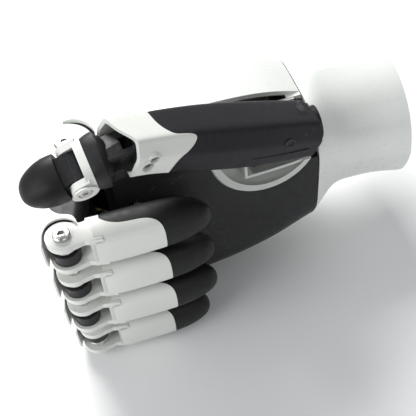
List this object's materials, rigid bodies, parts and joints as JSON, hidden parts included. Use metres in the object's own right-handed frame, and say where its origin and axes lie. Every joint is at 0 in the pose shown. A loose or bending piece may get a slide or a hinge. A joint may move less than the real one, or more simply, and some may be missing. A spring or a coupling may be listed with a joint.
{
  "type": "prosthetic hand",
  "caption": "Powered right-hand prosthesis with curled fingers, an opposing thumb, split shells, exposed joint screws and a flared wrist cuff over a quick-disconnect coupling.",
  "frame": {"origin": "on the wrist axis in the plane of the cuff rim, inside the coupling spigot", "axes": "+X along the wrist axis towards the forearm, +Y towards the back of the hand, +Z towards the thumb side"},
  "size_m": [0.142, 0.0789, 0.1094],
  "materials": {
    "white_gloss": "moulded, glossy white",
    "white_satin": "moulded, satin white",
    "black_satin": "moulded, satin black",
    "black_printed": "black with fine layer lines",
    "black_rubber": "soft, fine matt texture",
    "steel": "turned and brushed",
    "aluminium": "machined and bead blasted",
    "board": "green solder mask",
    "brass": "cut and oiled",
    "motor_can": "dark anodised can"
  },
  "bodies": {
    "hand_base": {"palm_chassis": "aluminium", "dorsal_shell": "white_gloss", "palm_cover": "black_satin", "thumb_socket": "white_gloss", "wrist_cuff": "white_gloss", "wrist_coupling": "steel", "adapter_screws": "steel", "cover_screws": "steel", "control_board": "board", "knuckle_axle": "steel", "thumb_rotation_motor": "motor_can", "index_actuator": "motor_can", "middle_actuator": "motor_can", "ring_actuator": "motor_can", "little_actuator": "motor_can"},
    "thumb_meta": {"thumb_base_drum": "aluminium", "thumb_metacarpal_cover": "black_printed", "thumb_mp_bracket": "white_satin", "thumb_bracket_screw": "steel", "thumb_mp_pin": "steel", "thumb_flexor_actuator": "motor_can"},
    "thumb_prox": {"thumb_proximal": "black_satin", "thumb_ip_bracket": "white_satin", "thumb_ip_pin": "steel"},
    "thumb_dist": {"thumb_distal_link": "aluminium", "thumb_tip": "black_rubber"},
    "thumb_rack": {"thumb_flexor_rack": "brass"},
    "index_prox": {"index_proximal": "black_satin", "index_knuckle_cover": "white_satin", "index_return_spring": "steel"},
    "index_dist": {"index_distal_link": "white_satin", "index_distal_cover": "white_satin", "index_fingertip": "black_rubber", "index_joint_screw": "steel"},
    "index_rack": {"index_drive_rack": "brass"},
    "middle_prox": {"middle_proximal": "black_satin", "middle_knuckle_cover": "white_satin", "middle_return_spring": "steel"},
    "middle_dist": {"middle_distal_link": "white_satin", "middle_distal_cover": "white_satin", "middle_fingertip": "black_rubber", "middle_joint_screw": "steel"},
    "middle_rack": {"middle_drive_rack": "brass"},
    "ring_prox": {"ring_proximal": "black_satin", "ring_knuckle_cover": "white_satin", "ring_return_spring": "steel"},
    "ring_dist": {"ring_distal_link": "white_satin", "ring_distal_cover": "white_satin", "ring_fingertip": "black_rubber", "ring_joint_screw": "steel"},
    "ring_rack": {"ring_drive_rack": "brass"},
    "little_prox": {"little_proximal": "black_satin", "little_knuckle_cover": "white_satin", "little_return_spring": "steel"},
    "little_dist": {"little_distal_link": "white_satin", "little_distal_cover": "white_satin", "little_fingertip": "black_rubber", "little_joint_screw": "steel"},
    "little_rack": {"little_drive_rack": "brass"}
  },
  "joints": [
    {"name": "index_knuckle", "type": "hinge", "parent": "hand_base", "child": "index_prox", "pos_m": [-0.123, -0.006, 0.0234], "axis": [0, 0, 1], "range_deg": [-76, 3]},
    {"name": "index_middle_joint", "type": "hinge", "parent": "index_prox", "child": "index_dist", "pos_m": [-0.13224, -0.04306, 0.0234], "axis": [0, 0, 1], "range_deg": [-97.02, 4.31]},
    {"name": "index_rack_slide", "type": "slide", "parent": "hand_base", "child": "index_rack", "axis": [1, 0, 0], "range_m": [-0.0066, 0.0004]},
    {"name": "middle_knuckle", "type": "hinge", "parent": "hand_base", "child": "middle_prox", "pos_m": [-0.123, -0.006, 0.0044], "axis": [0, 0, 1], "range_deg": [-76, 3]},
    {"name": "middle_middle_joint", "type": "hinge", "parent": "middle_prox", "child": "middle_dist", "pos_m": [-0.13224, -0.04306, 0.0044], "axis": [0, 0, 1], "range_deg": [-97.02, 4.31]},
    {"name": "middle_rack_slide", "type": "slide", "parent": "hand_base", "child": "middle_rack", "axis": [1, 0, 0], "range_m": [-0.0066, 0.0004]},
    {"name": "ring_knuckle", "type": "hinge", "parent": "hand_base", "child": "ring_prox", "pos_m": [-0.123, -0.006, -0.0146], "axis": [0, 0, 1], "range_deg": [-76, 3]},
    {"name": "ring_middle_joint", "type": "hinge", "parent": "ring_prox", "child": "ring_dist", "pos_m": [-0.13224, -0.04306, -0.0146], "axis": [0, 0, 1], "range_deg": [-97.02, 4.31]},
    {"name": "ring_rack_slide", "type": "slide", "parent": "hand_base", "child": "ring_rack", "axis": [1, 0, 0], "range_m": [-0.0066, 0.0004]},
    {"name": "little_knuckle", "type": "hinge", "parent": "hand_base", "child": "little_prox", "pos_m": [-0.123, -0.006, -0.037], "axis": [0, 0, 1], "range_deg": [-76, 3]},
    {"name": "little_middle_joint", "type": "hinge", "parent": "little_prox", "child": "little_dist", "pos_m": [-0.13137, -0.03957, -0.037], "axis": [0, 0, 1], "range_deg": [-97.02, 4.31]},
    {"name": "little_rack_slide", "type": "slide", "parent": "hand_base", "child": "little_rack", "axis": [1, 0, 0], "range_m": [-0.0066, 0.0004]},
    {"name": "thumb_rotation", "type": "hinge", "parent": "hand_base", "child": "thumb_meta", "pos_m": [-0.05, -0.023, 0.026], "axis": [1, 0, 0], "range_deg": [-35, 6]},
    {"name": "thumb_flexion", "type": "hinge", "parent": "thumb_meta", "child": "thumb_prox", "pos_m": [-0.1018, -0.0349, 0.053], "axis": [0.0935, -0.9423, -0.3214], "range_deg": [-30, 8]},
    {"name": "thumb_tip_joint", "type": "hinge", "parent": "thumb_prox", "child": "thumb_dist", "pos_m": [-0.12215, -0.03622, 0.05094], "axis": [0.0935, -0.9423, -0.3214], "range_deg": [-8.3, 2.4]},
    {"name": "thumb_rack_slide", "type": "slide", "parent": "thumb_meta", "child": "thumb_rack", "axis": [0.897, 0.2198, -0.3836], "range_m": [-0.002, 0.0006]}
  ],
  "couplings": [
    {"joint": "index_middle_joint", "follows": "index_knuckle", "ratio": 1.27},
    {"joint": "index_rack_slide", "follows": "index_knuckle", "m_per_rad": 0.0048},
    {"joint": "middle_middle_joint", "follows": "middle_knuckle", "ratio": 1.27},
    {"joint": "middle_rack_slide", "follows": "middle_knuckle", "m_per_rad": 0.0048},
    {"joint": "ring_middle_joint", "follows": "ring_knuckle", "ratio": 1.27},
    {"joint": "ring_rack_slide", "follows": "ring_knuckle", "m_per_rad": 0.0048},
    {"joint": "little_middle_joint", "follows": "little_knuckle", "ratio": 1.27},
    {"joint": "little_rack_slide", "follows": "little_knuckle", "m_per_rad": 0.0048},
    {"joint": "thumb_tip_joint", "follows": "thumb_flexion", "ratio": 0.2667},
    {"joint": "thumb_rack_slide", "follows": "thumb_flexion", "m_per_rad": 0.0036}
  ]
}
